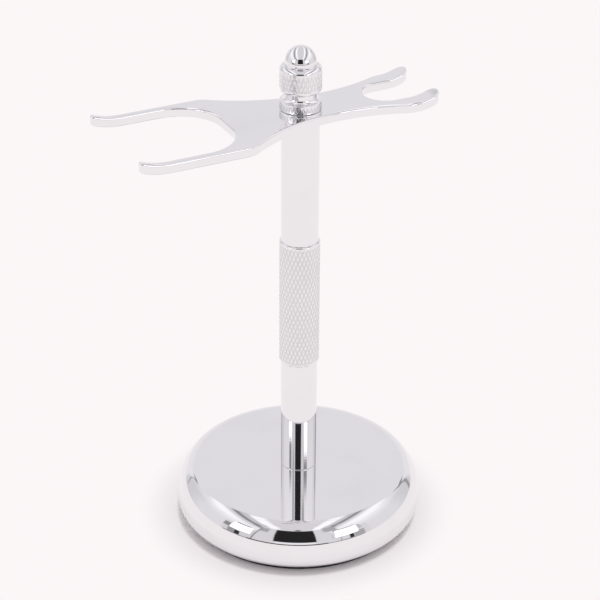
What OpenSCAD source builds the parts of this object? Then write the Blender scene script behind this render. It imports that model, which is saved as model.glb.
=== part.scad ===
// Free-standing stand for one razor and one shaving brush, in millimetres.
// A weighted round base carries a pole made of three sections that screw together, the
// middle one being the knurled grip. A double-ended fork turns on the pole's top stud, and
// a ball-topped knob screws down on the same stud and clamps it.
// The origin is the centre of the pad's underside and +Z is up. The fork lies along X,
// with its brush end towards -X and its razor end towards +X.

/* [Base] */
// Outside diameter of the base cover
base_d = 74.8; // [72:0.2:90]
// Height of the base from the floor to its flat top
base_h = 16.3; // [16:0.1:20]
// Width of the rounded band between the side and the flat top
base_edge_w = 5.9; // [5:0.1:7]
// Height of that rounded band
base_edge_h = 8.5; // [8:0.1:9.5]
// Radius of the tight part of that band, where it meets the flat top
base_top_round = 3.9; // [3.2:0.1:4.5]
// Rounding of the cover's bottom edge
base_foot_round = 3.7; // [3:0.1:4.8]
// Thickness of the cover's wall
shell_wall = 5.2; // [5:0.1:6.5]
// Thickness of the cover's top
shell_top = 3.0; // [2.5:0.1:3.5]
// Thickness of the rubber pad
pad_t = 1.7; // [1.2:0.1:3]
// How far the pad's edge sits in from the side of the cover
pad_inset = 3.6; // [3:0.1:5]

/* [Pole] */
// Diameter of the plain sections
pole_d = 11.0; // [10.5:0.1:12]
// Diameter over the knurled grip
grip_d = 12.0; // [12:0.1:14]
// Length of the lower section
lower_l = 36.95; // [30:0.05:60]
// Length of the knurled grip
grip_l = 40.05; // [30:0.05:60]
// Length of the upper section
upper_l = 37.45; // [30:0.05:60]
// Chamfer at the ends of the grip
grip_chamfer = 0.5; // [0.2:0.1:0.8]

/* [Fork] */
// Thickness of the fork
fork_t = 2.9; // [2:0.1:3.5]
// Reach of the brush end from the pole's axis
brush_reach = 56.0; // [52:0.5:70]
// Width across the brush end
brush_w = 36.6; // [34:0.1:44]
// Width of the brush opening
brush_gap = 32.2; // [26:0.1:32.4]
// Distance from the pole's axis to the bottom of the brush opening
brush_root = 23.2; // [21:0.1:26]
// Rounding of the two corners of the brush opening
brush_round = 12.5; // [8:0.1:12.8]
// Reach of the razor end from the pole's axis
razor_reach = 38.9; // [36:0.1:46]
// Width across the razor end
razor_w = 23.6; // [21:0.1:27]
// Width of the razor slot
razor_gap = 13.1; // [10:0.1:14]
// Distance from the pole's axis to the centre of the slot's round end
razor_seat_x = 27.0; // [26:0.1:29]
// Width of the fork at its waist
waist_w = 15.3; // [14:0.1:17]
// Distance of the waist from the pole's axis, towards the razor end
waist_x = 9.0; // [8:0.5:12]
// Radius of the hollow flanks at the waist
waist_r = 52.0; // [50:1:60]
// Radius to which the razor tips are bent up
razor_bend_r = 18.0; // [16:1:30]
// Radius to which the brush tips are bent up
brush_bend_r = 26.0; // [14:1:30]

/* [Knob] */
// Diameter of the knob's flange and collar
knob_d = 12.0; // [12:0.1:14]
// Height of the flange
flange_h = 2.65; // [2.5:0.05:3.5]
// Height of the neck between the flange and the collar
neck_h = 2.5; // [2:0.1:3.5]
// Diameter of the neck
neck_d = 9.0; // [8.4:0.1:9.4]
// Radius of the fillet between the neck and the flange
neck_fillet = 1.2; // [0.6:0.1:1.2]
// Height of the collar
collar_h = 7.7; // [6.5:0.1:9]
// Rounding of the collar's two edges
collar_round = 1.2; // [0.6:0.1:1.4]
// Diameter of the ball
ball_d = 9.0; // [8.4:0.1:9.4]

/* [Hidden] */
$fn = 96;

clear = 0.05;        // running gap between pieces that turn on each other
far = 200;           // longer than anything that it cuts

chrome = [0.86, 0.87, 0.89];
zinc = [0.70, 0.71, 0.73];
iron = [0.33, 0.33, 0.35];
black_rubber = [0.05, 0.05, 0.05];
white_nylon = [0.92, 0.92, 0.90];

// Base: the cover's rounded band is two arcs that meet in a tangent, a tight one at the
// flat top and a wide one down to the straight side.
base_r = base_d / 2;
arc_drop = base_edge_h - base_top_round;
side_arc_r = (base_edge_w * base_edge_w + arc_drop * arc_drop
              - base_top_round * base_top_round) / (2 * (base_edge_w - base_top_round));
top_arc_c = [base_r - base_edge_w, base_h - base_top_round];
side_arc_c = [base_r - side_arc_r, base_h - base_edge_h];
arc_join = atan2(top_arc_c[1] - side_arc_c[1], top_arc_c[0] - side_arc_c[0]);
pad_r = base_r - pad_inset;
cavity_r = base_r - shell_wall;
cavity_top = base_h - shell_top;
cavity_side = pad_t + 0.6 * (cavity_top - pad_t);
cavity_cone = 2.6;   // how far the cavity narrows from its side to its ceiling
ballast_gap = 0.2;

// Base bolt, an M6 low-head cap screw, with its flat and lock washers
m6_r = 3.0;
m6_clear_r = 3.3;
bolt_head_r = 5.0;
bolt_head_h = 4.0;
bolt_socket_r = 2.3;
bolt_socket_h = 2.2;
bolt_l = 22;
bolt_gap = 0.2;      // air between the pad and the bolt's head
washer_t = 1.2;
washer_r = 6.0;
lock_washer_t = 1.6;
lock_washer_r = 5.2;
lock_split = 1.0;
head_z = pad_t + bolt_gap;
lock_z = head_z + bolt_head_h;
washer_z = lock_z + lock_washer_t;
seat_z = washer_z + washer_t;
counterbore_r = 7.5;

// Pole
pole_r = pole_d / 2;
grip_r = grip_d / 2;
grip_z = base_h + lower_l;
upper_z = grip_z + grip_l;
pole_top = upper_z + upper_l;
pole_chamfer = 0.3;
foot_bore_l = 14;
stud_l = 20;         // M6 stud that joins two sections
stud_bore_l = stud_l / 2 + 0.5;
m5_r = 2.5;
m5_clear_r = 2.6;
top_stud_below = 12.75;
top_stud_above = 12.25;
top_bore_l = top_stud_below + 0.5;
stud_chamfer = 0.5;
hex_r = 1.7;
hex_h = 2.5;

// Fork
swivel_washer_t = 0.8;
swivel_washer_r = 5.3;
fork_z = pole_top + swivel_washer_t + clear;
fork_top = fork_z + fork_t;
brush_half = brush_w / 2;
brush_gap_half = brush_gap / 2;
brush_tip_r = (brush_half - brush_gap_half) / 2;
shoulder_r = 5.0;    // rounding where the brush end's sides turn in to the waist
waist_half = waist_w / 2;
waist_c = [waist_x, waist_half + waist_r];
razor_half = razor_w / 2;
razor_gap_r = razor_gap / 2;
razor_tip_r = (razor_half - razor_gap_r) / 2;
razor_tip_c = [razor_reach - razor_tip_r, razor_gap_r + razor_tip_r];
shoulder_c = [waist_c[0] - sqrt(pow(waist_r + shoulder_r, 2)
                                - pow(waist_c[1] - brush_half + shoulder_r, 2)),
              brush_half - shoulder_r];
razor_shoulder_r = 8.0;    // rounding where the waist's hollow turns in to a razor prong
razor_shoulder_c = [waist_c[0] + sqrt(pow(waist_r + razor_shoulder_r, 2)
                                      - pow(waist_c[1] - razor_half + razor_shoulder_r, 2)),
                    razor_half - razor_shoulder_r];
razor_bend_x = 31.0;
brush_bend_x = brush_reach - 9.1;    // where the brush prongs start to bend up

// Knob: it screws on the top stud and carries a captive washer in its underside
knob_z = fork_top + clear;
knob_r = knob_d / 2;
knob_washer_t = 0.8;
knob_washer_r = 4.3;
knob_recess_r = 4.5;
knob_recess_h = knob_washer_t + clear;
knob_bore_r = m5_r + clear;
knob_bore_top = pole_top + top_stud_above + 0.6;
neck_z = knob_z + flange_h;
collar_z = neck_z + neck_h;
knob_top = collar_z + collar_h;
neck_r = neck_d / 2;
knob_chamfer = 0.25;
ball_r = ball_d / 2;
ball_sink = 1.0;     // how far the ball's flat lies below its centre
ball_z = knob_top + ball_sink;
spigot_r = 2.0;
spigot_l = 2.8;

// ---- shared shapes ----------------------------------------------------------------

// Round bar with a chamfer at each end, standing on z = 0
module bar(r, l, low = 0, high = 0) {
    rotate_extrude()
        polygon([[0, 0], [r - low, 0], [r, low], [r, l - high], [r - high, l], [0, l]]);
}

// Flat ring standing on z = 0
module ring(outer, inner, t) {
    difference() {
        cylinder(r = outer, h = t);
        translate([0, 0, -1]) cylinder(r = inner, h = t + 2);
    }
}

// Threaded stud with a hexagon socket in its lower end
module stud(r, l) {
    difference() {
        bar(r, l, stud_chamfer, stud_chamfer);
        translate([0, 0, -1]) cylinder(r = hex_r, h = hex_h + 1, $fn = 6);
    }
}

// ---- base ---------------------------------------------------------------------------

// Half section of the cover's outside
module base_section() {
    foot_x = base_r - base_foot_round;
    foot_y = pad_t + base_foot_round;
    polygon([[0, pad_t], [foot_x, pad_t], [foot_x, foot_y], [base_r, foot_y],
             [base_r, side_arc_c[1]], side_arc_c, top_arc_c, [top_arc_c[0], base_h],
             [0, base_h]]);
    translate([foot_x, foot_y]) circle(r = base_foot_round);
    translate(top_arc_c) circle(r = base_top_round);
    intersection() {
        translate(side_arc_c) circle(r = side_arc_r);
        translate(side_arc_c)
            polygon([[0, 0], [far, 0], [far, far * tan(arc_join)]]);
    }
}

// Half section of the space inside the cover, drawn in by a gap for the ballast
module cavity_section(low, gap) {
    wide = cavity_r - gap;
    polygon([[0, low], [wide, low], [wide, cavity_side - gap],
             [wide - cavity_cone, cavity_top], [0, cavity_top]]);
}

module base_shell() {
    color(chrome)
    difference() {
        rotate_extrude() base_section();
        rotate_extrude() cavity_section(pad_t - 1, 0);
        cylinder(r = m6_clear_r, h = far);
    }
}

module base_ballast() {
    color(iron)
    difference() {
        rotate_extrude() cavity_section(pad_t, ballast_gap);
        cylinder(r = m6_clear_r, h = far);
        cylinder(r = counterbore_r, h = seat_z);
    }
}

module base_pad() {
    color(black_rubber) bar(pad_r, pad_t, 0.2, 0.2);
}

module base_bolt() {
    color(zinc)
    translate([0, 0, head_z])
    difference() {
        union() {
            bar(bolt_head_r, bolt_head_h, 0.4, 0);
            translate([0, 0, bolt_head_h]) bar(m6_r, bolt_l, 0, stud_chamfer);
        }
        translate([0, 0, -1]) cylinder(r = bolt_socket_r, h = bolt_socket_h + 1, $fn = 6);
    }
}

module base_washer() {
    color(zinc) translate([0, 0, washer_z]) ring(washer_r, m6_clear_r, washer_t);
}

module base_lock_washer() {
    color(zinc)
    translate([0, 0, lock_z])
    difference() {
        ring(lock_washer_r, m6_clear_r, lock_washer_t);
        translate([0, -lock_split / 2, -1])
            cube([lock_washer_r + 1, lock_split, lock_washer_t + 2]);
    }
}

// ---- pole ---------------------------------------------------------------------------

module pole_lower() {
    color(chrome)
    translate([0, 0, base_h])
    difference() {
        bar(pole_r, lower_l, pole_chamfer, 0);
        translate([0, 0, -1]) cylinder(r = m6_r, h = foot_bore_l + 1);
        translate([0, 0, lower_l - stud_bore_l]) cylinder(r = m6_r, h = far);
    }
}

module pole_grip() {
    color(chrome)
    translate([0, 0, grip_z])
    difference() {
        bar(grip_r, grip_l, grip_chamfer, grip_chamfer);
        translate([0, 0, -1]) cylinder(r = m6_r, h = stud_bore_l + 1);
        translate([0, 0, grip_l - stud_bore_l]) cylinder(r = m6_r, h = far);
    }
}

module pole_upper() {
    color(chrome)
    translate([0, 0, upper_z])
    difference() {
        bar(pole_r, upper_l, 0, pole_chamfer);
        translate([0, 0, -1]) cylinder(r = m6_r, h = stud_bore_l + 1);
        translate([0, 0, upper_l - top_bore_l]) cylinder(r = m5_r, h = far);
    }
}

module joining_studs() {
    color(zinc)
    for (z = [grip_z, upper_z])
        translate([0, 0, z - stud_l / 2]) stud(m6_r, stud_l);
}

module top_stud() {
    color(zinc)
    translate([0, 0, pole_top - top_stud_below])
        stud(m5_r, top_stud_below + top_stud_above);
}

// ---- fork ---------------------------------------------------------------------------

module swivel_washer() {
    color(white_nylon)
    translate([0, 0, pole_top]) ring(swivel_washer_r, m5_clear_r, swivel_washer_t);
}

// One half of the fork before its openings are cut and its tips are bent, on the +Y side
// of the X axis: a tall block with the fork's outline, standing on z = 0
module fork_half_block(h) {
    brush_tip_x = brush_tip_r - brush_reach;
    meet = shoulder_c + shoulder_r * (waist_c - shoulder_c) / norm(waist_c - shoulder_c);
    razor_meet = razor_shoulder_c + razor_shoulder_r * (waist_c - razor_shoulder_c)
                                    / norm(waist_c - razor_shoulder_c);
    difference() {
        linear_extrude(height = h)
            polygon([[brush_tip_x, 0], [brush_tip_x, brush_half],
                     [shoulder_c[0], brush_half], shoulder_c, meet, razor_meet,
                     razor_shoulder_c, [razor_shoulder_c[0], razor_half],
                     [razor_tip_c[0], razor_half], [razor_tip_c[0], 0]]);
        translate([waist_c[0], waist_c[1], -1]) cylinder(r = waist_r, h = h + 2);
    }
    translate([shoulder_c[0], shoulder_c[1], 0]) cylinder(r = shoulder_r, h = h);
    translate([brush_tip_x, brush_half - brush_tip_r, 0]) cylinder(r = brush_tip_r, h = h);
    translate([razor_tip_c[0], razor_tip_c[1], 0]) cylinder(r = razor_tip_r, h = h);
    intersection() {
        translate([razor_shoulder_c[0], razor_shoulder_c[1], 0])
            cylinder(r = razor_shoulder_r, h = h);
        translate([0, 0, -1]) cube([razor_shoulder_c[0] + 1, razor_half, h + 2]);
    }
}

// Cutter for the brush opening: straight sides, and a flat bottom between two round corners
module brush_opening() {
    corner_y = brush_gap_half - brush_round;
    corner_x = brush_root + brush_round;
    translate([-far, -brush_gap_half, -1]) cube([far - corner_x, brush_gap, far]);
    translate([-far, -corner_y, -1]) cube([far - brush_root, 2 * corner_y, far]);
    for (side = [-1, 1])
        translate([-corner_x, side * corner_y, -1]) cylinder(r = brush_round, h = far);
}

// Cutter for the razor slot: straight sides and a half-round end
module razor_slot() {
    translate([razor_seat_x, 0, -1]) cylinder(r = razor_gap_r, h = far);
    translate([razor_seat_x, -razor_gap_r, -1]) cube([far, razor_gap, far]);
}

module fork_block(h) {
    difference() {
        union() {
            fork_half_block(h);
            mirror([0, 1, 0]) fork_half_block(h);
        }
        brush_opening();
        razor_slot();
        translate([0, 0, -1]) cylinder(r = m5_clear_r, h = h + 2);
    }
}

// One side of the slab that the fork is cut from: flat as far as bend_x, and from there
// bent up to a radius
module slab_half(bend_x, r) {
    translate([0, -brush_w, 0]) cube([bend_x, 2 * brush_w, fork_t]);
    intersection() {
        translate([bend_x, 0, r])
            rotate([90, 0, 0])
                difference() {
                    cylinder(r = r, h = 2 * brush_w, center = true);
                    cylinder(r = r - fork_t, h = 3 * brush_w, center = true);
                }
        translate([bend_x, -brush_w, 0]) cube([0.8 * r, 2 * brush_w, r]);
    }
}

module bent_slab() {
    slab_half(razor_bend_x, razor_bend_r);
    mirror([1, 0, 0]) slab_half(brush_bend_x, brush_bend_r);
}

module fork_plate() {
    color(chrome)
    translate([0, 0, fork_z])
    intersection() {
        translate([0, 0, -1]) fork_block(3 * fork_t + 2);
        bent_slab();
    }
}

// ---- knob ---------------------------------------------------------------------------

module knob_washer() {
    color(white_nylon)
    translate([0, 0, knob_z]) ring(knob_washer_r, m5_clear_r, knob_washer_t);
}

// Half section of the knob: flange, neck with a fillet at its foot, and collar with rounded
// edges
module knob_section() {
    edge_x = knob_r - collar_round;
    fillet_x = neck_r + neck_fillet;
    fillet_y = neck_z + neck_fillet;
    difference() {
        polygon([[0, knob_z], [knob_r - knob_chamfer, knob_z],
                 [knob_r, knob_z + knob_chamfer], [knob_r, neck_z], [fillet_x, neck_z],
                 [neck_r, fillet_y], [neck_r, collar_z], [0, collar_z]]);
        translate([fillet_x, fillet_y]) circle(r = neck_fillet);
    }
    polygon([[0, collar_z], [edge_x, collar_z], [edge_x, collar_z + collar_round],
             [knob_r, collar_z + collar_round], [knob_r, knob_top - collar_round],
             [edge_x, knob_top - collar_round], [edge_x, knob_top], [0, knob_top]]);
    for (y = [collar_z + collar_round, knob_top - collar_round])
        translate([edge_x, y]) circle(r = collar_round);
}

module knob_body() {
    color(chrome)
    difference() {
        rotate_extrude() knob_section();
        translate([0, 0, knob_z - 1]) cylinder(r = knob_recess_r, h = knob_recess_h + 1);
        translate([0, 0, knob_z]) cylinder(r = knob_bore_r, h = knob_bore_top - knob_z);
        translate([0, 0, knob_top - spigot_l - clear]) cylinder(r = spigot_r, h = far);
    }
}

module knob_ball() {
    color(chrome)
    union() {
        intersection() {
            translate([0, 0, ball_z]) sphere(r = ball_r);
            translate([0, 0, knob_top]) cylinder(r = knob_r, h = far);
        }
        translate([0, 0, knob_top - spigot_l]) cylinder(r = spigot_r, h = spigot_l + 1);
    }
}

base_shell();
base_ballast();
base_pad();
base_bolt();
base_washer();
base_lock_washer();
pole_lower();
pole_grip();
pole_upper();
joining_studs();
top_stud();
swivel_washer();
fork_plate();
knob_washer();
knob_body();
knob_ball();
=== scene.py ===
import math

import bmesh
import bpy
import numpy as np
from mathutils import Matrix, Vector


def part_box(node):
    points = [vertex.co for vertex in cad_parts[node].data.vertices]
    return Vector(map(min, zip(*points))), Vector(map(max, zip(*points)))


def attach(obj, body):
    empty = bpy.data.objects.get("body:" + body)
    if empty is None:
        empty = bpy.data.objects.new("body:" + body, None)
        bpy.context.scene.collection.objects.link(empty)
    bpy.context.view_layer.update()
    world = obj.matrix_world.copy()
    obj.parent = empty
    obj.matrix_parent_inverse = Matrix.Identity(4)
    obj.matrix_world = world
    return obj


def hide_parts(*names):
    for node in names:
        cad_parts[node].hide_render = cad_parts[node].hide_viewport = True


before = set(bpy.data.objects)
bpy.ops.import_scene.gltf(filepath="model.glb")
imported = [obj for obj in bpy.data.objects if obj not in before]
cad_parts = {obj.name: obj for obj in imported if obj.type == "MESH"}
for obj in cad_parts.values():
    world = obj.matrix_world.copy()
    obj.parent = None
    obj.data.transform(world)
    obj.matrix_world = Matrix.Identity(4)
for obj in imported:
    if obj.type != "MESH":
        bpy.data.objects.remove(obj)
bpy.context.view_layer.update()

MM = 0.001
TAU = 2 * math.pi
TINY = 1e-7                     # a difference smaller than this is none
SLOPE_STEP = 1e-6               # metres over which a relief's slope is measured
CORNER_STEP = 15.0              # degrees between the rows of a rounded corner


# ---- outlines of turned pieces -----------------------------------------------------------
# An outline is travelled with the outside on its right: out along the underside, up the side
# and back in along the top. Each row is (radius, height, normal's radius, normal's height).

def arc(centre_r, centre_z, radius, start, end, step=5.0):
    """Rows of an arc, with angles in degrees. It bulges where it turns left, and is hollow
    where it turns right."""
    count = max(2, math.ceil(abs(end - start) / step) + 1)
    side = 1 if end > start else -1
    rows = []
    for angle in np.radians(np.linspace(start, end, count)):
        c, s = math.cos(angle), math.sin(angle)
        rows.append((centre_r + radius * c, centre_z + radius * s, side * c, side * s))
    return rows


def unit(a, b):
    d = np.array(b[:2], float) - np.array(a[:2], float)
    return d / np.linalg.norm(d)


def outline(items, closed=False):
    """Rows of an outline. An item is a corner (radius, height, rounding) or a list of rows
    made by arc(); straight lines join them. An open outline's two ends have no rounding."""
    rows = []
    count = len(items)
    for i, item in enumerate(items):
        if isinstance(item, list):
            rows += item
            continue
        corner = np.array(item[:2], float)
        first, last = (i == 0 and not closed), (i == count - 1 and not closed)
        before = None if first else items[i - 1]
        after = None if last else items[(i + 1) % count]
        before = before[-1] if isinstance(before, list) else before
        after = after[0] if isinstance(after, list) else after
        way_in = None if first else unit(before, corner)
        way_out = None if last else unit(corner, after)
        if first or last:
            way = way_out if first else way_in
            rows.append((*corner, way[1], -way[0]))
            continue
        turn = math.atan2(way_in[0] * way_out[1] - way_in[1] * way_out[0], way_in @ way_out)
        rounding = item[2]
        start = corner - way_in * rounding * math.tan(abs(turn) / 2)
        normal = np.array([way_in[1], -way_in[0]])
        side = 1 if turn > 0 else -1
        centre = start - side * normal * rounding
        angle = math.degrees(math.atan2(side * normal[1], side * normal[0]))
        rows += arc(*centre, rounding, angle, angle + math.degrees(turn), CORNER_STEP)
    return rows


def split_rows(rows, low, high, pitch):
    """Adds a row about every pitch along the upright stretch from low to high."""
    made = []
    for a, b in zip(rows, rows[1:]):
        made.append(a)
        upright = abs(a[0] - b[0]) < TINY
        if upright and a[1] <= low + TINY and b[1] >= high - TINY:
            count = round((high - low) / pitch)
            made += [(a[0], low + k * (high - low) / count, 1.0, 0.0)
                     for k in range(count + 1)]
    return made + [rows[-1]]


def without_repeats(rows):
    """The rows, except those that repeat the row before."""
    return [row for before, row in zip(rows[-1:] + rows, rows)
            if not np.allclose(before, row, rtol=0, atol=TINY)]


def turned(name, rows, columns, closed=False, relief=None):
    """A turned piece with exact normals. relief(angle, height) is how deep the surface is
    cut on upright stretches. As a share of the deepest cut, it is also kept as the attribute
    "cut"."""
    verts, normals, faces, cuts, rings = [], [], [], [], []
    angles = np.arange(columns) * TAU / columns
    for r, z, nr, nz in without_repeats(rows):
        start = len(verts)
        if r < TINY:
            verts.append((0, 0, z))
            normals.append((0, 0, nz))
            cuts.append(0.0)
            rings.append([start] * columns)
            continue
        upright = relief is not None and abs(nz) < TINY and nr > 0
        for a in angles:
            depth = along = around = 0.0
            if upright:
                step, turn = SLOPE_STEP, SLOPE_STEP / r
                depth = relief(a, z)
                along = (relief(a, z + step) - relief(a, z - step)) / (2 * step)
                around = (relief(a + turn, z) - relief(a - turn, z)) / (2 * step)
            c, s = math.cos(a), math.sin(a)
            verts.append(((r - depth) * c, (r - depth) * s, z))
            n = Vector((nr * c - around * s, nr * s + around * c, nz + along))
            normals.append(n.normalized())
            cuts.append(depth)
        rings.append(list(range(start, start + columns)))
    for low, high in zip(rings, rings[1:] + rings[:1] if closed else rings[1:]):
        for k in range(columns):
            n = (k + 1) % columns
            face = []
            for v in (low[k], low[n], high[n], high[k]):
                if v not in face:
                    face.append(v)
            if len(face) > 2:
                faces.append(face)
    mesh = bpy.data.meshes.new(name)
    mesh.from_pydata(verts, [], faces)
    mesh.validate()
    mesh.shade_smooth()
    mesh.normals_split_custom_set_from_vertices(normals)
    if relief is not None:
        deepest = max(cuts)
        layer = mesh.attributes.new("cut", "FLOAT", "POINT")
        layer.data.foreach_set("value", [c / deepest for c in cuts])
    return add(name, mesh)


def add(name, data):
    obj = bpy.data.objects.new(name, data)
    bpy.context.scene.collection.objects.link(obj)
    return obj


def add_built(name, bm):
    """Makes an object of a finished bmesh, and frees the bmesh."""
    mesh = bpy.data.meshes.new(name)
    bm.to_mesh(mesh)
    bm.free()
    return add(name, mesh)


def fit(obj, body, node, look):
    """The piece stands for a CAD node, rides on its body and has its finish."""
    obj.data.materials.append(look)
    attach(obj, body)
    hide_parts(node)


# ---- shader helpers ----------------------------------------------------------------------

class Nodes:
    """Short calls that add shader nodes to a tree."""

    def __init__(self, tree):
        self.tree = tree
        tree.nodes.clear()

    def node(self, kind, inputs=None, **settings):
        made = self.tree.nodes.new(kind)
        for key, value in settings.items():
            setattr(made, key, value)
        for key, value in (inputs or {}).items():
            self.feed(made.inputs[key], value)
        return made

    def feed(self, socket, value):
        if isinstance(value, bpy.types.NodeSocket):
            self.tree.links.new(value, socket)
        else:
            socket.default_value = value

    def math(self, operation, a, b=0.0, c=0.0):
        made = self.node("ShaderNodeMath", {0: a, 1: b, 2: c}, operation=operation)
        return made.outputs[0]

    def ramp(self, x, low, high, at_low=0.0, at_high=1.0):
        """Rises smoothly from one level to the other as x goes from low to high."""
        made = self.node("ShaderNodeMapRange", {0: x, 1: low, 2: high, 3: at_low, 4: at_high},
                         interpolation_type="SMOOTHSTEP")
        return made.outputs[0]

    def band(self, x, low, high, blur):
        """1 where x is between low and high, with soft sides."""
        rise = self.ramp(x, low - blur / 2, low + blur / 2)
        fall = self.ramp(x, high - blur / 2, high + blur / 2, 1.0, 0.0)
        return self.math("MULTIPLY", rise, fall)

    def blend(self, share, a, b):
        made = self.node("ShaderNodeMix", {0: share, 2: a, 3: b}, data_type="FLOAT")
        return made.outputs[0]

    def tint(self, share, a, b):
        made = self.node("ShaderNodeMix", {0: share, 6: a, 7: b}, data_type="RGBA")
        return made.outputs[2]

    def noise(self, where, scale, detail=2.0, rough=0.5, stretch=None):
        if stretch is not None:
            where = self.node("ShaderNodeMapping", {0: where, 3: stretch}).outputs[0]
        made = self.node("ShaderNodeTexNoise", {"Vector": where, "Scale": scale,
                                                "Detail": detail, "Roughness": rough})
        return made.outputs["Fac"]

    def bump(self, height, strength, distance):
        made = self.node("ShaderNodeBump", {"Strength": strength, "Distance": distance,
                                            "Height": height})
        return made.outputs[0]


def grey(level):
    return (level, level, level, 1.0)


def new_material(name):
    """A new material, its empty node tree and object coordinates."""
    look = bpy.data.materials.new(name)
    look.use_nodes = True
    n = Nodes(look.node_tree)
    return look, n, n.node("ShaderNodeTexCoord").outputs["Object"]


def new_look(name):
    """A new material with a surface shader, for a piece of the stand."""
    look, n, where = new_material(name)
    shader = n.node("ShaderNodeBsdfPrincipled")
    n.node("ShaderNodeOutputMaterial", {"Surface": shader.outputs[0]})
    return look, n, shader, where


CHROME = (0.868, 0.862, 0.876, 1.0)
CHROME_WORN = (0.845, 0.838, 0.850, 1.0)
TURNED_LINES = (40.0, 40.0, 2500.0)     # hairlines that run round a turned piece
PLATE_LINES = (2600.0, 90.0, 90.0)      # hairlines that run across the fork


def chrome(name, lines, cut=0.0):
    """Polished chrome plate: a faint haze of handling, and hairlines left by polishing. lines
    is how closely they lie along each axis, and cut is how far the bottoms of the knurl's
    grooves are darkened: painted shade in the grooves, together with grime where polish doesn't
    reach."""
    look, n, shader, where = new_look(name)
    haze = n.ramp(n.noise(where, 55.0, 3.0, 0.6), 0.45, 0.75)
    specks = n.ramp(n.noise(where, 900.0, 2.0), 0.66, 0.80)
    hairlines = n.noise(where, 1.0, 2.0, 0.6, lines)
    rough = n.blend(haze, 0.022, 0.040)
    rough = n.math("ADD", rough, n.math("MULTIPLY", specks, 0.03))
    rough = n.math("ADD", rough, n.math("MULTIPLY", hairlines, 0.012))
    colour = n.tint(haze, CHROME, CHROME_WORN)
    if cut:
        depth = n.node("ShaderNodeAttribute", attribute_name="cut").outputs["Fac"]
        deep = n.ramp(depth, 0.45, 1.0)
        # painted shade in the bottoms of the knurl's grooves, together with grime
        colour = n.tint(n.math("MULTIPLY", deep, cut), colour, grey(0.30))
        rough = n.math("ADD", rough, n.ramp(depth, 0.02, 0.40, 0.0, 0.24))
    n.feed(shader.inputs["Base Color"], colour)
    n.feed(shader.inputs["Roughness"], rough)
    n.feed(shader.inputs["Normal"], n.bump(hairlines, 0.012, 0.0001))
    shader.inputs["Metallic"].default_value = 1.0
    return look


def zinc(name):
    """Zinc-plated steel: dull, with a mottled bluish passivation."""
    look, n, shader, where = new_look(name)
    patches = n.noise(where, 260.0, 4.0, 0.6)
    grain = n.noise(where, 4000.0, 2.0)
    n.feed(shader.inputs["Base Color"],
           n.tint(n.ramp(patches, 0.35, 0.65), (0.60, 0.62, 0.66, 1), (0.70, 0.69, 0.66, 1)))
    n.feed(shader.inputs["Roughness"], n.blend(grain, 0.24, 0.44))
    n.feed(shader.inputs["Normal"], n.bump(grain, 0.15, 0.00005))
    shader.inputs["Metallic"].default_value = 1.0
    return look


def cast_iron(name):
    """Sand-cast iron, as it comes from the mould."""
    look, n, shader, where = new_look(name)
    grains = n.noise(where, 1500.0, 4.0, 0.7)
    rust = n.ramp(n.noise(where, 120.0, 4.0, 0.65), 0.55, 0.8)
    n.feed(shader.inputs["Base Color"],
           n.tint(n.math("MULTIPLY", rust, 0.5), grey(0.10), (0.17, 0.08, 0.045, 1)))
    n.feed(shader.inputs["Roughness"], n.blend(grains, 0.55, 0.85))
    n.feed(shader.inputs["Normal"], n.bump(grains, 0.6, 0.0002))
    shader.inputs["Metallic"].default_value = 0.6
    return look


def rubber(name):
    """Black moulded rubber with a fine matt grain and a little dust."""
    look, n, shader, where = new_look(name)
    grain = n.noise(where, 5000.0, 3.0, 0.6)
    dust = n.ramp(n.noise(where, 350.0, 5.0, 0.7), 0.58, 0.85)
    n.feed(shader.inputs["Base Color"],
           n.tint(n.math("MULTIPLY", dust, 0.25), grey(0.014), grey(0.11)))
    n.feed(shader.inputs["Roughness"], n.blend(dust, 0.58, 0.82))
    n.feed(shader.inputs["Normal"], n.bump(grain, 0.35, 0.00006))
    shader.inputs["Specular IOR Level"].default_value = 0.35
    return look


def nylon(name):
    """Natural nylon washer, turned on a lathe."""
    look, n, shader, where = new_look(name)
    milky = n.noise(where, 500.0, 3.0)
    turning = n.noise(where, 1.0, 1.0, 0.5, (60.0, 60.0, 9000.0))
    n.feed(shader.inputs["Base Color"],
           n.tint(milky, (0.80, 0.79, 0.74, 1), (0.88, 0.87, 0.83, 1)))
    n.feed(shader.inputs["Roughness"], n.blend(milky, 0.32, 0.48))
    n.feed(shader.inputs["Normal"], n.bump(turning, 0.2, 0.00005))
    shader.inputs["Subsurface Weight"].default_value = 0.15
    shader.inputs["Subsurface Scale"].default_value = 0.0005
    return look


# ---- base --------------------------------------------------------------------------------

EDGE_WIDTH = 5.9 * MM           # rounded band between the flat top and the side
EDGE_HEIGHT = 8.5 * MM
TOP_ROUND = 3.9 * MM
FOOT_ROUND = 3.7 * MM
COVER_WALL = 5.2 * MM
COVER_TOP = 3.0 * MM
CAVITY_CONE = 2.6 * MM          # how far the cavity narrows from its side to its ceiling
CAVITY_SIDE = 0.6               # share of the cavity's height that is upright
BOLT_HOLE_R = 3.3 * MM
SMALL_ROUND = 0.15 * MM         # rounding of an edge that is only broken
MAT_EDGE = 0.35 * MM
RIB_PITCH = 2.4 * MM
RIB_WIDTH = 1.2 * MM
RIB_DEPTH = 0.4 * MM
PLAIN_RIM = 3.0 * MM            # width of the pad's rim, which has no ribs
COVER_COLUMNS = 256
MAT_COLUMNS = 192


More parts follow.
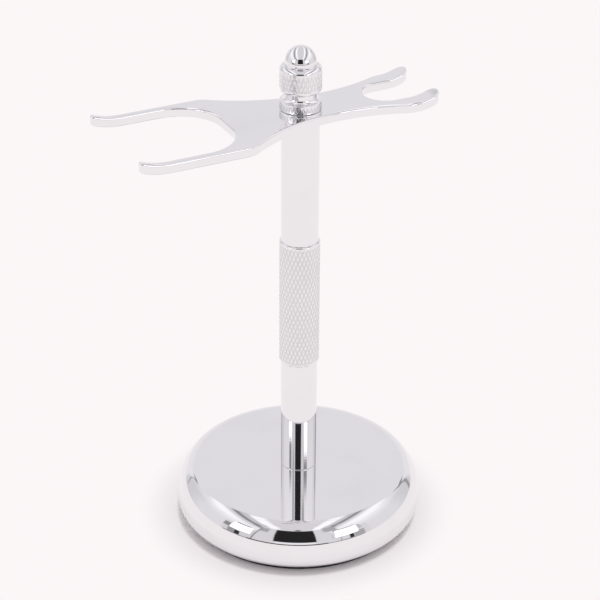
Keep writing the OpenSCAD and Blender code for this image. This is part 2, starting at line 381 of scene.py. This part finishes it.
def base_cover(look):
    """The cover: a flat top, a band of two arcs that meet in a tangent, an upright side and a
    rounded foot, hollow underneath."""
    low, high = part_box("base_shell")
    radius, foot, top = high.x, low.z, high.z
    drop = EDGE_HEIGHT - TOP_ROUND
    side_r = (EDGE_WIDTH ** 2 + drop ** 2 - TOP_ROUND ** 2) / (2 * (EDGE_WIDTH - TOP_ROUND))
    top_c = (radius - EDGE_WIDTH, top - TOP_ROUND)
    side_c = (radius - side_r, top - EDGE_HEIGHT)
    join = math.degrees(math.atan2(top_c[1] - side_c[1], top_c[0] - side_c[0]))
    wall = radius - COVER_WALL
    ceiling = top - COVER_TOP
    shoulder = foot + CAVITY_SIDE * (ceiling - foot)
    rows = outline([
        (wall, foot, SMALL_ROUND),
        arc(radius - FOOT_ROUND, foot + FOOT_ROUND, FOOT_ROUND, -90, 0, 3.0),
        arc(*side_c, side_r, 0, join, 2.0),
        arc(*top_c, TOP_ROUND, join, 90, 2.0),
        (BOLT_HOLE_R, top, SMALL_ROUND),
        (BOLT_HOLE_R, ceiling, SMALL_ROUND),
        (wall - CAVITY_CONE, ceiling, SMALL_ROUND),
        (wall, shoulder, SMALL_ROUND),
    ], closed=True)
    obj = turned("base_cover", rows, COVER_COLUMNS, closed=True)
    fit(obj, "stand", "base_shell", look)


def base_mat(look):
    """The rubber pad: rounded edges, and ribs moulded into its underside."""
    low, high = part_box("base_pad")
    radius, bottom, top = high.x, low.z, high.z
    groove = bottom + RIB_DEPTH
    items = [(0, bottom)]
    for k in range(1, int((radius - PLAIN_RIM) / RIB_PITCH)):
        start = k * RIB_PITCH
        end = start + RIB_WIDTH
        items += [(r, z, MAT_EDGE / 3) for r, z in ((start, bottom), (start, groove),
                                                    (end, groove), (end, bottom))]
    items += [(radius, bottom, MAT_EDGE), (radius, top, MAT_EDGE), (0, top)]
    obj = turned("base_mat", outline(items), MAT_COLUMNS)
    fit(obj, "stand", "base_pad", look)


# ---- pole --------------------------------------------------------------------------------

POLE_EDGE = 0.30 * MM           # rounding of the plain sections' free ends
GRIP_EDGE = 0.45 * MM
FOOT_HOLE = (3.0 * MM, 14.0 * MM)       # radius and length of a blind hole
STUD_HOLE = (3.0 * MM, 10.5 * MM)
TOP_HOLE = (2.5 * MM, 13.25 * MM)
POLE_COLUMNS = 128

KNURL_STARTS = 31               # grooves in each of the two families that cross
KNURL_RISE = 3.0 * MM           # height in which a family repeats
KNURL_FADE = 0.5 * MM           # height in which the grooves run out at a band's ends
KNURL_STEPS = 4                 # mesh steps from a groove's bottom to a diamond's tip
FLANK_WIDTH = 0.46              # width of a groove's flank, as a share of the groove's pitch
FLANK_CURVE = 1.15              # above 1, a flank is a little hollow
GRIP_KNURL = 0.14 * MM          # depth of the grooves
KNOB_KNURL = 0.07 * MM
GRIP_GROOVE_SHADE_AND_GRIME = 0.34                # painted shade and grime at the grooves' bottoms
# the same painted shade and grime at the grooves' bottoms, on the knob
KNOB_GROOVE_SHADE_AND_GRIME = 0.22

THREAD_PITCH = 0.8 * MM
THREAD_DEPTH = 0.6              # as a share of the pitch
THREAD_STEPS = 8                # mesh steps in a pitch
THREAD_EDGE = 0.05 * MM
THREAD_COLUMNS = 48


def section(name, node, edges, holes, look, knurl=0.0):
    """One section of the pole. edges are the roundings of its lower and upper end, holes are
    the blind holes in them, and knurl is how deep its knurl is."""
    low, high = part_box(node)
    radius, bottom, top = high.x, low.z, high.z
    (low_r, low_l), (high_r, high_l) = holes
    rows = outline([
        (0, bottom + low_l),
        (low_r, bottom + low_l, SMALL_ROUND),
        (low_r, bottom, SMALL_ROUND),
        (radius, bottom, edges[0]),
        (radius, top, edges[1]),
        (high_r, top, SMALL_ROUND),
        (high_r, top - high_l, SMALL_ROUND),
        (0, top - high_l),
    ])
    if knurl:
        obj = knurled(name, rows, [(bottom + edges[0], top - edges[1], knurl)])
    else:
        obj = turned(name, rows, POLE_COLUMNS)
    fit(obj, "stand", node, look)


def knurled(name, rows, stretches):
    """A turned piece with crossing grooves on upright stretches (low, high, depth)."""
    pitch = KNURL_RISE / 2 / KNURL_STEPS

    def height(x):
        """0 at the bottom of a groove, which lies at each whole x, and 1 between grooves."""
        away = abs((x + 0.5) % 1.0 - 0.5)
        return min(1.0, away / FLANK_WIDTH) ** FLANK_CURVE

    def relief(angle, z):
        for low, high, depth in stretches:
            if low <= z <= high:
                fade = min(1.0, (z - low) / KNURL_FADE, (high - z) / KNURL_FADE)
                turns = KNURL_STARTS * angle / TAU
                rise = (z - low) / KNURL_RISE
                left = min(height(turns + rise), height(turns - rise))
                return depth * fade * (1 - left)
        return 0.0

    for low, high, _ in stretches:
        rows = split_rows(rows, low, high, pitch)
    return turned(name, rows, 2 * KNURL_STEPS * KNURL_STARTS, relief=relief)


def thread(name, node, body, look):
    """A stud with a real helical thread."""
    low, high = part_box(node)
    radius, bottom, top = high.x, low.z, high.z

    def relief(angle, z):
        fade = min(1.0, (z - bottom) / THREAD_PITCH, (top - z) / THREAD_PITCH)
        phase = ((z - bottom) / THREAD_PITCH - angle / TAU) % 1.0
        crest = 1 - abs(2 * phase - 1)
        return THREAD_DEPTH * THREAD_PITCH * (1 - fade * crest)

    rows = outline([
        (0, bottom),
        (radius, bottom, THREAD_EDGE),
        (radius, top, THREAD_EDGE),
        (0, top),
    ])
    rows = split_rows(rows, bottom + THREAD_EDGE, top - THREAD_EDGE,
                      THREAD_PITCH / THREAD_STEPS)
    fit(turned(name, rows, THREAD_COLUMNS, relief=relief), body, node, look)


# ---- fork --------------------------------------------------------------------------------

FORK_EDGE = 0.55 * MM           # rounding along the fork's edges
BRUSH_GAP_HALF = 16.1 * MM
BRUSH_ROOT = 23.2 * MM
BRUSH_ROUND = 12.5 * MM
RAZOR_GAP_R = 6.55 * MM
RAZOR_HALF = 11.8 * MM
RAZOR_SEAT_X = 27.0 * MM
BRUSH_SHOULDER_R = 5.0 * MM
RAZOR_SHOULDER_R = 8.0 * MM
WAIST_X = 9.0 * MM
WAIST_HALF = 7.65 * MM
WAIST_R = 52.0 * MM
FORK_HOLE_R = 2.6 * MM
RAZOR_BEND_X = 31.0 * MM
RAZOR_BEND_R = 18.0 * MM
BRUSH_BEND_L = 9.1 * MM
BRUSH_BEND_R = 26.0 * MM
FORK_THICK = 2.9 * MM
BEND_SLICES = 17                # slices in which a bent tip is made
EDGE_POINTS = 5                 # points of the section of a rounded edge
HOLE_POINTS = 25                # points of half of the hole's rim


def fork_half(reach_brush, reach_razor, half_width):
    """The fork's outline on its +Y side, from the bottom of the brush opening round to the
    bottom of the razor slot, as rows like those of a turned piece but in (x, y)."""
    tip_r = (half_width - BRUSH_GAP_HALF) / 2
    tip_c = (tip_r - reach_brush, half_width - tip_r)
    corner_c = (-BRUSH_ROOT - BRUSH_ROUND, BRUSH_GAP_HALF - BRUSH_ROUND)
    waist_c = (WAIST_X, WAIST_HALF + WAIST_R)
    razor_r = (RAZOR_HALF - RAZOR_GAP_R) / 2
    razor_c = (reach_razor - razor_r, RAZOR_GAP_R + razor_r)
    shoulders, turns = [], []
    for side, half, r in ((-1, half_width, BRUSH_SHOULDER_R), (1, RAZOR_HALF, RAZOR_SHOULDER_R)):
        rise = waist_c[1] - half + r
        apart = math.sqrt((WAIST_R + r) ** 2 - rise ** 2)
        shoulders.append((WAIST_X + side * apart, half - r))
        turns.append(math.degrees(math.atan2(rise, -side * apart)))
    return outline([
        (-BRUSH_ROOT, 0),
        arc(*corner_c, BRUSH_ROUND, 0, 90, 3.0),
        arc(*tip_c, tip_r, 270, 90, 15.0),
        arc(*shoulders[0], BRUSH_SHOULDER_R, 90, turns[0], 3.0),
        arc(*waist_c, WAIST_R, turns[0] - 180, turns[1] - 180, 1.0),
        arc(*shoulders[1], RAZOR_SHOULDER_R, turns[1], 90, 3.0),
        arc(*razor_c, razor_r, 90, -90, 10.0),
        arc(RAZOR_SEAT_X, 0, RAZOR_GAP_R, 90, 180, 4.0),
    ])


def fork(look):
    """The fork: a polished plate with rounded edges, whose tips bend up. Each half is a flat
    top and bottom between its rounded edge and half of the stud's hole."""
    low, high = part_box("fork_plate")
    thick = FORK_THICK
    rows = fork_half(-low.x, high.x, high.y)
    edge = [(FORK_EDGE * (1 - math.sin(t)), thick - FORK_EDGE * (1 - math.cos(t)))
            for t in np.radians(np.linspace(0, 90, EDGE_POINTS))]
    edge += [(inset, thick - z) for inset, z in reversed(edge)]
    hole = [(FORK_HOLE_R * math.cos(t), FORK_HOLE_R * math.sin(t))
            for t in np.radians(np.linspace(0, 180, HOLE_POINTS))]
    bm = bmesh.new()
    for side in (1, -1):
        rings = [[bm.verts.new((x + nx * inset, side * (y + ny * inset), z))
                  for x, y, nx, ny in rows] for inset, z in edge]
        rims = [[bm.verts.new((x, side * y, z)) for x, y in hole] for z in (thick, 0.0)]
        for strip in (rings, rims):
            for a, b in zip(strip, strip[1:]):
                for k in range(len(a) - 1):
                    bm.faces.new((a[k], a[k + 1], b[k + 1], b[k]))
        bm.faces.new(rings[0] + rims[0])
        bm.faces.new(rings[-1] + rims[1])
    bmesh.ops.remove_doubles(bm, verts=bm.verts, dist=TINY)
    bmesh.ops.recalc_face_normals(bm, faces=bm.faces)
    bends = [(RAZOR_BEND_X, high.x, RAZOR_BEND_R), (low.x + BRUSH_BEND_L, low.x, BRUSH_BEND_R)]
    for start, end, _ in bends:
        for x in np.linspace(start, end, BEND_SLICES + 1)[:-1]:
            bmesh.ops.bisect_plane(bm, geom=bm.verts[:] + bm.edges[:] + bm.faces[:],
                                   plane_co=(x, 0, 0), plane_no=(1, 0, 0), dist=TINY)
    for v in bm.verts:
        for start, end, r in bends:
            along = (v.co.x - start) * (1 if end > start else -1)
            if along > 0:
                under = r - math.sqrt(r ** 2 - along ** 2)
                over = r - math.sqrt((r - thick) ** 2 - along ** 2)
                v.co.z = under + (over - under) * v.co.z / thick
    bmesh.ops.translate(bm, verts=bm.verts, vec=(0, 0, low.z))
    obj = add_built("fork", bm)
    obj.data.shade_smooth()
    even = obj.modifiers.new("even_normals", "WEIGHTED_NORMAL")
    even.mode = "FACE_AREA"
    fit(obj, "fork", "fork_plate", look)


# ---- knob --------------------------------------------------------------------------------

FLANGE_H = 2.65 * MM
FLANGE_EDGE = 0.25 * MM         # rounding of the flange's edges
NECK_H = 2.5 * MM
NECK_R = 4.5 * MM
NECK_FILLET = 1.2 * MM
COLLAR_ROUND = 1.2 * MM
RECESS_R = 4.5 * MM
RECESS_H = 0.85 * MM
KNOB_BORE_R = 2.55 * MM
SPIGOT_R = 2.0 * MM
SPIGOT_L = 2.85 * MM
BORE_SPARE = 0.6 * MM           # air above the stud when the knob is screwed down
BALL_COLUMNS = 128


def knob(look, ball_look):
    """The knob: a knurled flange, a neck, a knurled collar with rounded edges, and the ball."""
    low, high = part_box("knob_body")
    radius, bottom, top = high.x, low.z, high.z
    bore_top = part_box("top_stud")[1].z + BORE_SPARE
    neck_z = bottom + FLANGE_H
    collar_z = neck_z + NECK_H
    rows = outline([
        (0, bore_top),
        (KNOB_BORE_R, bore_top, SMALL_ROUND),
        (KNOB_BORE_R, bottom + RECESS_H, SMALL_ROUND),
        (RECESS_R, bottom + RECESS_H, SMALL_ROUND),
        (RECESS_R, bottom, SMALL_ROUND),
        (radius, bottom, FLANGE_EDGE),
        (radius, neck_z, FLANGE_EDGE),
        arc(NECK_R + NECK_FILLET, neck_z + NECK_FILLET, NECK_FILLET, 270, 180, 3.0),
        (NECK_R, collar_z, SMALL_ROUND),
        arc(radius - COLLAR_ROUND, collar_z + COLLAR_ROUND, COLLAR_ROUND, -90, 0),
        arc(radius - COLLAR_ROUND, top - COLLAR_ROUND, COLLAR_ROUND, 0, 90),
        (SPIGOT_R, top, SMALL_ROUND),
        (SPIGOT_R, top - SPIGOT_L, SMALL_ROUND),
        (0, top - SPIGOT_L),
    ])
    obj = knurled("knob", rows, [
        (bottom + FLANGE_EDGE, neck_z - FLANGE_EDGE, KNOB_KNURL),
        (collar_z + COLLAR_ROUND, top - COLLAR_ROUND, KNOB_KNURL),
    ])
    fit(obj, "knob", "knob_body", look)

    low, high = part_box("knob_ball")
    ball_r = high.x
    centre = high.z - ball_r
    rim = math.degrees(math.asin((top - centre) / ball_r))
    rows = outline([
        (0, low.z),
        (SPIGOT_R, low.z, SMALL_ROUND),
        (SPIGOT_R, top, SMALL_ROUND),
        arc(0, centre, ball_r, rim, 90, 3.0),
    ])
    fit(turned("ball", rows, BALL_COLUMNS), "knob", "knob_ball", ball_look)


# ---- studio ------------------------------------------------------------------------------

VIEW_TURN = 27.2                # degrees that the camera stands round towards the brush end
VIEW_DISTANCE = 0.48396         # metres from the pole's axis
VIEW_RISE = 0.32400             # metres above the base's top
VIEW_TILT = 28.902              # degrees that it looks down
VIEW_ROLL = 0.358
VIEW_TRIM = 0.0205              # degrees that it looks past the axis
VIEW_LENS = 112.364             # focal length on a sensor of SENSOR_WIDTH
SENSOR_WIDTH = 36.0
BACKDROP = (0.965, 0.925, 0.932, 1.0)
PAPER = (0.95, 0.91, 0.915, 1.0)
TENT_COLOUR = (0.990, 0.967, 1.0, 1.0)

FLOOR_R = 0.74
SHADOW_CORE = 36.2 * MM         # radius of the part of the floor that is all paper
SHADOW_RIM = 37.8 * MM          # and where most of the shadow has faded
SHADOW_END = 50.0 * MM
RIM_FADE = 0.6                  # share of the shadow that is gone at its rim
SHADOW_LEAN = (0.6 * MM, -0.3 * MM, 0.0)    # from the shadow's middle to the base's


def camera():
    turn = math.radians(VIEW_TURN)
    data = bpy.data.cameras.new("camera")
    data.sensor_width = SENSOR_WIDTH
    data.lens = VIEW_LENS
    data.clip_start = 0.02
    data.clip_end = 20.0
    obj = add("camera", data)
    place = Vector((-VIEW_DISTANCE * math.sin(turn), -VIEW_DISTANCE * math.cos(turn),
                    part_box("base_shell")[1].z + VIEW_RISE))
    obj.matrix_world = (Matrix.Translation(place)
                        @ Matrix.Rotation(-turn - math.radians(VIEW_TRIM), 4, "Z")
                        @ Matrix.Rotation(math.radians(90 - VIEW_TILT), 4, "X")
                        @ Matrix.Rotation(math.radians(VIEW_ROLL), 4, "Z"))
    bpy.context.scene.camera = obj


TENT_R = 0.75
TENT_H = 0.38                   # the tent is lower than it is wide
STRIP = 1.15                    # brightness of the roof's two pairs of bright strips
SECOND_STRIP = 1.12
LAMP = 2.2

# The stripes along the roof's ridge: how far each one reaches to both sides, on a scale that
# is 0 at the ridge and 1 at the seam, how bright it is, and how soft its edges are. The widest
# comes first, and each one lies over those before it.
STRIPES = (
    (1.35, 0.72, 0.45),
    (1.09, 0.30, 0.10),
    (0.90, 0.66, 0.10),
    (0.70, STRIP, 0.10),
    (0.44, 0.76, 0.12),
)

# Patches on the tent's walls, each one over those before it: turn from and to, and lift from
# and to, in degrees, then its brightness, how soft its edges are in degrees, and how many
# degrees it leans round for each degree of lift.
PATCHES = (
    # The front panel and what shows on each side of it
    (-38, 31, -2, 47, 0.78, 2.0, 0.0),
    (-70, -38, -2, 30, 0.74, 4.0, 0.0),
    (31, 66, -2, 30, 0.78, 4.0, 0.0),
    (-38, -29, 34, 45, 0.45, 2.0, 0.0),
    (25, 39, 37, 49, 0.46, 4.0, 0.0),
    (-20, 15, 3.6, 9.8, 0.95, 2.0, 0.0),
    # The opening that the camera looks in through
    (-21.2, 16.2, 9.6, 45.8, 0.022, 1.6, -0.015),
    (-3, 3, 45, 50, 0.25, 4.0, 0.0),
    # The front's seams
    (-42.0, -40.6, -2, 45, 0.30, 1.0, 0.1),
    (30.0, 31.0, 12, 27, 0.62, 1.0, 0.0),
    (37.2, 38.2, -2, 13, 0.40, 1.0, 0.0),
    # What stands around the two lamps
    (-70, -63.5, 15, 25, 0.30, 2.0, 0.0),
    (-64, -57, 2, 14, 0.36, 2.0, 0.0),
    (-61, -46, 32, 36, 0.30, 2.0, 0.0),
    (-57, -52, 0, 13, 0.04, 1.0, 0.0),
    (33, 56, 33, 36.5, 0.32, 2.0, 0.0),
    (50, 60, 3, 17, 0.44, 2.0, 0.0),
    (55, 60, 21, 33, 0.60, 2.0, 0.0),
    (45.5, 49.5, 2, 14, 0.04, 1.0, 0.0),
    # The lamps
    (-63, -43, 16, 33.2, LAMP, 1.0, 0.0),
    (31.5, 53, 15, 34.2, LAMP, 1.5, 0.1),
    # The dark line along the foot of the front
    (-68, 60, -3, 2.4, 0.34, 1.5, 0.0),
    (-45, 26, -3, 3.0, 0.05, 1.5, 0.0),
    # The seams in the two back corners, and the dark tops of the corners
    (-124.5, -123.0, 4, 34, 0.38, 1.5, -0.42),
    (122.5, 126.5, -2, 42, 0.36, 3.0, 0.30),
    (-147, -136, 32, 37, 0.38, 2.0, 0.0),
    (131, 145, 32, 37, 0.30, 2.0, 0.0),
)
LIFT_BLUR = 2.0                 # the softest that a patch's upper and lower edges get


def tent_light(n, where):
    """How bright each direction of the light tent is. Angles are in degrees: turn is 0 towards
    the camera and grows to its right, and lift is above the floor."""
    split = n.node("ShaderNodeSeparateXYZ", {0: where}).outputs
    x, y = split[0], split[1]
    z = n.math("MULTIPLY", split[2], TENT_H / TENT_R)
    turn = n.math("DEGREES", n.math("ARCTAN2", x, n.math("MULTIPLY", y, -1.0)))
    reach = n.math("SQRT", n.math("MULTIPLY_ADD", x, x, n.math("MULTIPLY", y, y)))
    lift = n.math("DEGREES", n.math("ARCTAN2", z, reach))
    away = n.math("ABSOLUTE", turn)

    # The walls: the sides are brighter higher up, and the back is brighter lower down
    level = n.ramp(away, 94.0, 120.0, 0.84, 0.71)
    upper = n.math("MULTIPLY", n.ramp(lift, 22.0, 48.0), n.ramp(away, 122.0, 140.0, 0.22, 0.0))
    level = n.math("ADD", level, upper)
    back = n.ramp(lift, 24.0, 34.0, 0.90, 0.842)
    level = n.blend(n.ramp(away, 130.0, 136.0), level, back)

    # The roof: stripes on each side of a ridge, and a second bright strip outside them. side
    # grows from 0 at the ridge to 1 at the seam, which comes closer to the ridge at the back.
    height = n.math("MAXIMUM", z, 0.01)
    across = n.math("DIVIDE", x, height)
    along = n.math("MAXIMUM", n.math("DIVIDE", y, height), -0.45)
    left_reach = n.math("MAXIMUM", n.math("MULTIPLY_ADD", along, -0.34, 0.51), 0.03)
    right_reach = n.math("MAXIMUM", n.math("MULTIPLY_ADD", along, -0.24, 0.44), 0.03)
    side = n.math("MAXIMUM", n.math("DIVIDE", n.math("MULTIPLY", across, -1.0), left_reach),
                  n.math("DIVIDE", across, right_reach))
    eaves = n.math("SUBTRACT", lift, n.ramp(away, 138.0, 166.0, 0.0, 9.0))
    roof = n.math("MULTIPLY", n.ramp(eaves, 35.0, 46.0), n.ramp(along, 0.50, 0.85, 1.0, 0.0))
    second = n.math("MULTIPLY", n.ramp(side, 2.6, 1.9), n.ramp(away, 152.0, 138.0))
    level = n.blend(n.math("MULTIPLY", roof, second), level, SECOND_STRIP)
    for limit, bright, blur in STRIPES:
        inside = n.ramp(side, limit - blur / 2, limit + blur / 2, 1.0, 0.0)
        level = n.blend(n.math("MULTIPLY", roof, inside), level, bright)

    for turn_low, turn_high, lift_low, lift_high, bright, blur, lean in PATCHES:
        across = n.math("SUBTRACT", turn, n.math("MULTIPLY", lift, lean))
        inside = n.math("MULTIPLY", n.band(across, turn_low, turn_high, blur),
                        n.band(lift, lift_low, lift_high, min(blur, LIFT_BLUR)))
        level = n.blend(inside, level, bright)
    return level


def set_stage(obj, look, n, shader):
    """The piece belongs to the studio and has this shader. Its glow isn't sampled as a lamp."""
    n.node("ShaderNodeOutputMaterial", {"Surface": shader.outputs[0]})
    look.cycles.emission_sampling = "NONE"
    obj.data.materials.append(look)


def tent():
    """A round light tent, of which only the reflection and the light are seen."""
    bm = bmesh.new()
    bmesh.ops.create_uvsphere(bm, u_segments=96, v_segments=48, radius=TENT_R)
    obj = add_built("tent", bm)
    obj.scale.z = TENT_H / TENT_R
    obj.rotation_euler.z = -math.radians(VIEW_TURN)
    obj.visible_camera = False
    look, n, where = new_material("tent")
    glow = n.node("ShaderNodeEmission", {"Color": TENT_COLOUR, "Strength": tent_light(n, where)})
    set_stage(obj, look, n, glow)


def floor():
    """A plain pale floor. Under the base it is paper, which takes the contact shadow, and
    further out it fades into the backdrop's colour."""
    bm = bmesh.new()
    bmesh.ops.create_circle(bm, cap_ends=True, segments=96, radius=FLOOR_R)
    obj = add_built("floor", bm)
    look, n, where = new_material("floor")
    leaning = n.node("ShaderNodeVectorMath", {0: where, 1: SHADOW_LEAN},
                     operation="ADD").outputs[0]
    away = n.node("ShaderNodeVectorMath", {0: leaning}, operation="LENGTH").outputs["Value"]
    near = n.ramp(away, SHADOW_CORE, SHADOW_RIM, 0.0, RIM_FADE)
    share = n.math("ADD", near, n.ramp(away, SHADOW_RIM, SHADOW_END, 0.0, 1 - RIM_FADE))
    paper = n.node("ShaderNodeBsdfDiffuse", {"Color": PAPER})
    glow = n.node("ShaderNodeEmission", {"Color": BACKDROP})
    mixed = n.node("ShaderNodeMixShader", {0: share, 1: paper.outputs[0], 2: glow.outputs[0]})
    set_stage(obj, look, n, mixed)


def backdrop():
    world = bpy.data.worlds.new("backdrop")
    world.use_nodes = True
    world.node_tree.nodes["Background"].inputs["Color"].default_value = BACKDROP
    bpy.context.scene.world = world
    bpy.context.scene.view_settings.view_transform = "Standard"


# ---- the scene ---------------------------------------------------------------------------

polished = chrome("chrome_turned", TURNED_LINES)
plate = chrome("chrome_plate", PLATE_LINES)
knurled_look = chrome("chrome_knurled", TURNED_LINES, GRIP_GROOVE_SHADE_AND_GRIME)
knob_look = chrome("chrome_knob", TURNED_LINES, KNOB_GROOVE_SHADE_AND_GRIME)
steel = zinc("zinc_steel")
washer = nylon("nylon")

base_cover(polished)
base_mat(rubber("rubber"))
section("lower_section", "pole_lower", (POLE_EDGE, SMALL_ROUND), (FOOT_HOLE, STUD_HOLE),
        polished)
section("grip", "pole_grip", (GRIP_EDGE, GRIP_EDGE), (STUD_HOLE, STUD_HOLE),
        knurled_look, GRIP_KNURL)
section("upper_section", "pole_upper", (SMALL_ROUND, POLE_EDGE), (STUD_HOLE, TOP_HOLE),
        polished)
thread("threaded_stud", "top_stud", "stand", steel)
fork(plate)
knob(knob_look, polished)

for node, look in (("base_ballast", cast_iron("cast_iron")), ("base_bolt", steel),
                   ("base_washer", steel), ("base_lock_washer", steel),
                   ("joining_studs", steel), ("swivel_washer", washer),
                   ("knob_washer", washer)):
    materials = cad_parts[node].data.materials
    materials.clear()
    materials.append(look)

camera()
tent()
floor()
backdrop()
